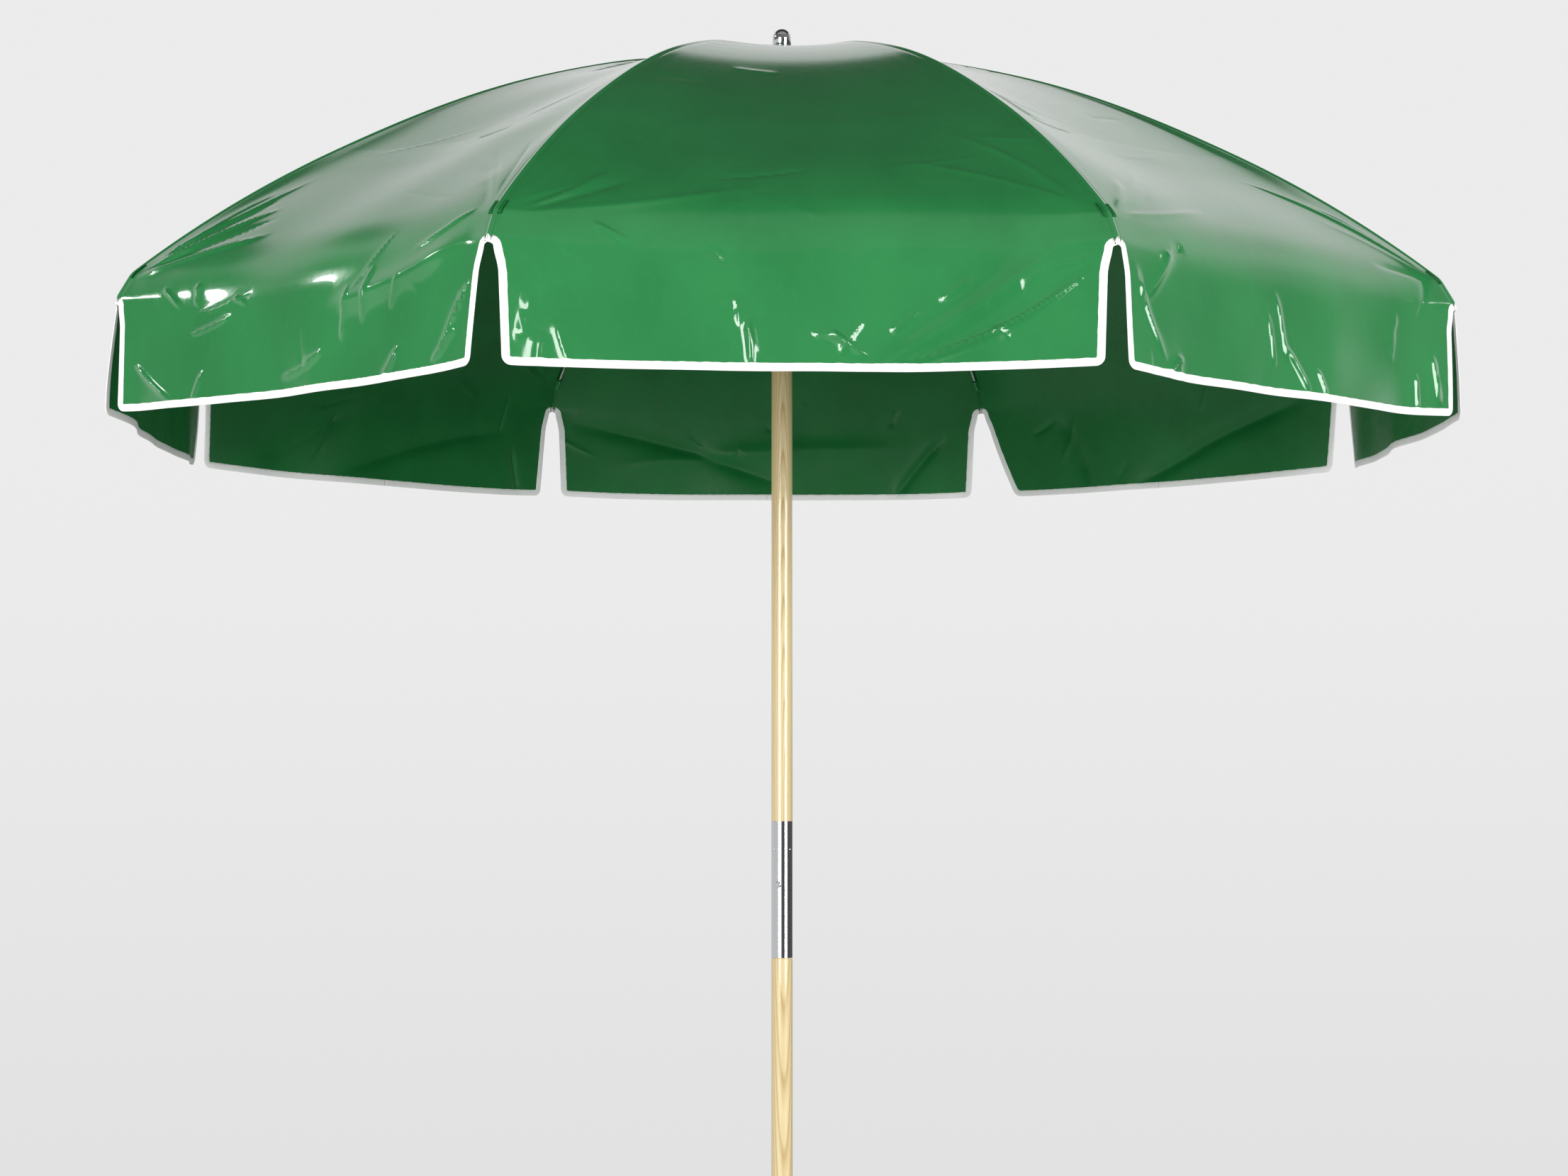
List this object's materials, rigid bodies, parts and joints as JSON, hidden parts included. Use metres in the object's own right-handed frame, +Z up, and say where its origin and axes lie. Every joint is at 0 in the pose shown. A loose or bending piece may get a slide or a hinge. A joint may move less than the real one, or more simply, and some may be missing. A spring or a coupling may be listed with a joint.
{
  "type": "beach umbrella",
  "caption": "Octagonal green vinyl beach umbrella with a white-bound valance, a folding metal rib frame and a two-piece wooden pole joined by a chrome sleeve.",
  "frame": {"origin": "on the pole's axis, at the pole's lower end", "axes": "+Z up along the pole; one canopy panel faces -Y, and the ribs stand at odd multiples of 22.5 degrees"},
  "size_m": [2.1472, 2.1472, 2.438],
  "materials": {
    "ash_wood": "gloss",
    "chrome": "polished",
    "bright_steel": "polished",
    "zinc_steel": "satin",
    "spring_steel": "satin",
    "cast_metal": "satin",
    "green_vinyl": "gloss",
    "white_binding": "matte"
  },
  "bodies": {
    "lower_pole": {"lower_pole": "ash_wood", "button_spring": "spring_steel"},
    "snap_button": {"snap_button": "chrome"},
    "upper_pole": {"upper_pole": "ash_wood", "ferrule": "chrome", "finial": "chrome", "finial_stud": "zinc_steel", "top_patch": "green_vinyl", "crown": "cast_metal", "crown_wire": "spring_steel", "crown_pin": "zinc_steel", "catch_pin": "zinc_steel"},
    "top_catch": {"top_catch": "spring_steel"},
    "rib_1": {"rib_1": "zinc_steel", "rib_tip_1": "bright_steel", "canopy_1": "green_vinyl"},
    "stretcher_1": {"stretcher_1": "zinc_steel"},
    "valance_1": {"valance_1": "green_vinyl"},
    "rib_2": {"rib_2": "zinc_steel", "rib_tip_2": "bright_steel", "canopy_2": "green_vinyl"},
    "stretcher_2": {"stretcher_2": "zinc_steel"},
    "valance_2": {"valance_2": "green_vinyl"},
    "rib_3": {"rib_3": "zinc_steel", "rib_tip_3": "bright_steel", "canopy_3": "green_vinyl"},
    "stretcher_3": {"stretcher_3": "zinc_steel"},
    "valance_3": {"valance_3": "green_vinyl"},
    "rib_4": {"rib_4": "zinc_steel", "rib_tip_4": "bright_steel", "canopy_4": "green_vinyl"},
    "stretcher_4": {"stretcher_4": "zinc_steel"},
    "valance_4": {"valance_4": "green_vinyl"},
    "rib_5": {"rib_5": "zinc_steel", "rib_tip_5": "bright_steel", "canopy_5": "green_vinyl"},
    "stretcher_5": {"stretcher_5": "zinc_steel"},
    "valance_5": {"valance_5": "green_vinyl"},
    "rib_6": {"rib_6": "zinc_steel", "rib_tip_6": "bright_steel", "canopy_6": "green_vinyl"},
    "stretcher_6": {"stretcher_6": "zinc_steel"},
    "valance_6": {"valance_6": "green_vinyl"},
    "rib_7": {"rib_7": "zinc_steel", "rib_tip_7": "bright_steel", "canopy_7": "green_vinyl"},
    "stretcher_7": {"stretcher_7": "zinc_steel"},
    "valance_7": {"valance_7": "green_vinyl"},
    "rib_8": {"rib_8": "zinc_steel", "rib_tip_8": "bright_steel", "canopy_8": "green_vinyl"},
    "stretcher_8": {"stretcher_8": "zinc_steel"},
    "valance_8": {"valance_8": "green_vinyl"},
    "runner": {"runner": "cast_metal", "runner_wire": "spring_steel"}
  },
  "joints": [
    {"name": "pole_pull", "type": "slide", "parent": "lower_pole", "child": "upper_pole", "axis": [0, 0, 1], "range_m": [0, 0.16], "deforming": ["snap_button", "button_spring"]},
    {"name": "snap_button_press", "type": "slide", "parent": "lower_pole", "child": "snap_button", "axis": [-0.4067, -0.9135, 0], "range_m": [-0.0036, 0], "stiffness_N_per_m": 350, "springref_m": 0.001, "deforming": ["button_spring"]},
    {"name": "top_catch_press", "type": "hinge", "parent": "upper_pole", "child": "top_catch", "pos_m": [0.01, 0, 1.97369], "axis": [0, 1, 0], "range_deg": [-6, 0], "stiffness_Nm_per_rad": 0.6, "springref_deg": 1.72},
    {"name": "rib_1_fold", "type": "hinge", "parent": "upper_pole", "child": "rib_1", "pos_m": [0.01148, -0.02772, 2.38238], "axis": [0.9239, 0.3827, 0], "range_deg": [0, 64], "deforming": ["top_catch", "canopy_1", "canopy_2", "canopy_3", "canopy_4", "canopy_5", "canopy_6", "canopy_7", "canopy_8", "valance_1", "valance_2", "valance_3", "valance_4", "valance_5", "valance_6", "valance_7", "valance_8"]},
    {"name": "stretcher_1_pivot", "type": "hinge", "parent": "rib_1", "child": "stretcher_1", "pos_m": [0.22762, -0.54951, 2.23479], "axis": [0.9239, 0.3827, 0], "range_deg": [-128, 0]},
    {"name": "valance_1_hang", "type": "hinge", "parent": "rib_1", "child": "valance_1", "pos_m": [0.44085, -1.06431, 1.898], "axis": [0.9239, 0.3827, 0], "range_deg": [-64, 0]},
    {"name": "rib_2_fold", "type": "hinge", "parent": "upper_pole", "child": "rib_2", "pos_m": [0.02772, -0.01148, 2.38238], "axis": [0.3827, 0.9239, 0], "range_deg": [0, 64]},
    {"name": "stretcher_2_pivot", "type": "hinge", "parent": "rib_2", "child": "stretcher_2", "pos_m": [0.54951, -0.22762, 2.23479], "axis": [0.3827, 0.9239, 0], "range_deg": [-128, 0]},
    {"name": "valance_2_hang", "type": "hinge", "parent": "rib_2", "child": "valance_2", "pos_m": [1.06431, -0.44085, 1.898], "axis": [0.3827, 0.9239, 0], "range_deg": [-64, 0]},
    {"name": "rib_3_fold", "type": "hinge", "parent": "upper_pole", "child": "rib_3", "pos_m": [0.02772, 0.01148, 2.38238], "axis": [-0.3827, 0.9239, 0], "range_deg": [0, 64]},
    {"name": "stretcher_3_pivot", "type": "hinge", "parent": "rib_3", "child": "stretcher_3", "pos_m": [0.54951, 0.22762, 2.23479], "axis": [-0.3827, 0.9239, 0], "range_deg": [-128, 0]},
    {"name": "valance_3_hang", "type": "hinge", "parent": "rib_3", "child": "valance_3", "pos_m": [1.06431, 0.44085, 1.898], "axis": [-0.3827, 0.9239, 0], "range_deg": [-64, 0]},
    {"name": "rib_4_fold", "type": "hinge", "parent": "upper_pole", "child": "rib_4", "pos_m": [0.01148, 0.02772, 2.38238], "axis": [-0.9239, 0.3827, 0], "range_deg": [0, 64]},
    {"name": "stretcher_4_pivot", "type": "hinge", "parent": "rib_4", "child": "stretcher_4", "pos_m": [0.22762, 0.54951, 2.23479], "axis": [-0.9239, 0.3827, 0], "range_deg": [-128, 0]},
    {"name": "valance_4_hang", "type": "hinge", "parent": "rib_4", "child": "valance_4", "pos_m": [0.44085, 1.06431, 1.898], "axis": [-0.9239, 0.3827, 0], "range_deg": [-64, 0]},
    {"name": "rib_5_fold", "type": "hinge", "parent": "upper_pole", "child": "rib_5", "pos_m": [-0.01148, 0.02772, 2.38238], "axis": [-0.9239, -0.3827, 0], "range_deg": [0, 64]},
    {"name": "stretcher_5_pivot", "type": "hinge", "parent": "rib_5", "child": "stretcher_5", "pos_m": [-0.22762, 0.54951, 2.23479], "axis": [-0.9239, -0.3827, 0], "range_deg": [-128, 0]},
    {"name": "valance_5_hang", "type": "hinge", "parent": "rib_5", "child": "valance_5", "pos_m": [-0.44085, 1.06431, 1.898], "axis": [-0.9239, -0.3827, 0], "range_deg": [-64, 0]},
    {"name": "rib_6_fold", "type": "hinge", "parent": "upper_pole", "child": "rib_6", "pos_m": [-0.02772, 0.01148, 2.38238], "axis": [-0.3827, -0.9239, 0], "range_deg": [0, 64]},
    {"name": "stretcher_6_pivot", "type": "hinge", "parent": "rib_6", "child": "stretcher_6", "pos_m": [-0.54951, 0.22762, 2.23479], "axis": [-0.3827, -0.9239, 0], "range_deg": [-128, 0]},
    {"name": "valance_6_hang", "type": "hinge", "parent": "rib_6", "child": "valance_6", "pos_m": [-1.06431, 0.44085, 1.898], "axis": [-0.3827, -0.9239, 0], "range_deg": [-64, 0]},
    {"name": "rib_7_fold", "type": "hinge", "parent": "upper_pole", "child": "rib_7", "pos_m": [-0.02772, -0.01148, 2.38238], "axis": [0.3827, -0.9239, 0], "range_deg": [0, 64]},
    {"name": "stretcher_7_pivot", "type": "hinge", "parent": "rib_7", "child": "stretcher_7", "pos_m": [-0.54951, -0.22762, 2.23479], "axis": [0.3827, -0.9239, 0], "range_deg": [-128, 0]},
    {"name": "valance_7_hang", "type": "hinge", "parent": "rib_7", "child": "valance_7", "pos_m": [-1.06431, -0.44085, 1.898], "axis": [0.3827, -0.9239, 0], "range_deg": [-64, 0]},
    {"name": "rib_8_fold", "type": "hinge", "parent": "upper_pole", "child": "rib_8", "pos_m": [-0.01148, -0.02772, 2.38238], "axis": [0.9239, -0.3827, 0], "range_deg": [0, 64]},
    {"name": "stretcher_8_pivot", "type": "hinge", "parent": "rib_8", "child": "stretcher_8", "pos_m": [-0.22762, -0.54951, 2.23479], "axis": [0.9239, -0.3827, 0], "range_deg": [-128, 0]},
    {"name": "valance_8_hang", "type": "hinge", "parent": "rib_8", "child": "valance_8", "pos_m": [-0.44085, -1.06431, 1.898], "axis": [0.9239, -0.3827, 0], "range_deg": [-64, 0]},
    {"name": "runner_pivot", "type": "hinge", "parent": "stretcher_1", "child": "runner", "pos_m": [0.01148, -0.02772, 2.08719], "axis": [0.9239, 0.3827, 0], "range_deg": [0, 64]}
  ],
  "couplings": [
    {"joint": "stretcher_1_pivot", "follows": "rib_1_fold", "ratio": -2},
    {"joint": "valance_1_hang", "follows": "rib_1_fold", "ratio": -1},
    {"joint": "rib_2_fold", "follows": "rib_1_fold", "ratio": 1},
    {"joint": "stretcher_2_pivot", "follows": "rib_1_fold", "ratio": -2},
    {"joint": "valance_2_hang", "follows": "rib_1_fold", "ratio": -1},
    {"joint": "rib_3_fold", "follows": "rib_1_fold", "ratio": 1},
    {"joint": "stretcher_3_pivot", "follows": "rib_1_fold", "ratio": -2},
    {"joint": "valance_3_hang", "follows": "rib_1_fold", "ratio": -1},
    {"joint": "rib_4_fold", "follows": "rib_1_fold", "ratio": 1},
    {"joint": "stretcher_4_pivot", "follows": "rib_1_fold", "ratio": -2},
    {"joint": "valance_4_hang", "follows": "rib_1_fold", "ratio": -1},
    {"joint": "rib_5_fold", "follows": "rib_1_fold", "ratio": 1},
    {"joint": "stretcher_5_pivot", "follows": "rib_1_fold", "ratio": -2},
    {"joint": "valance_5_hang", "follows": "rib_1_fold", "ratio": -1},
    {"joint": "rib_6_fold", "follows": "rib_1_fold", "ratio": 1},
    {"joint": "stretcher_6_pivot", "follows": "rib_1_fold", "ratio": -2},
    {"joint": "valance_6_hang", "follows": "rib_1_fold", "ratio": -1},
    {"joint": "rib_7_fold", "follows": "rib_1_fold", "ratio": 1},
    {"joint": "stretcher_7_pivot", "follows": "rib_1_fold", "ratio": -2},
    {"joint": "valance_7_hang", "follows": "rib_1_fold", "ratio": -1},
    {"joint": "rib_8_fold", "follows": "rib_1_fold", "ratio": 1},
    {"joint": "stretcher_8_pivot", "follows": "rib_1_fold", "ratio": -2},
    {"joint": "valance_8_hang", "follows": "rib_1_fold", "ratio": -1},
    {"joint": "runner_pivot", "follows": "rib_1_fold", "ratio": 1}
  ]
}
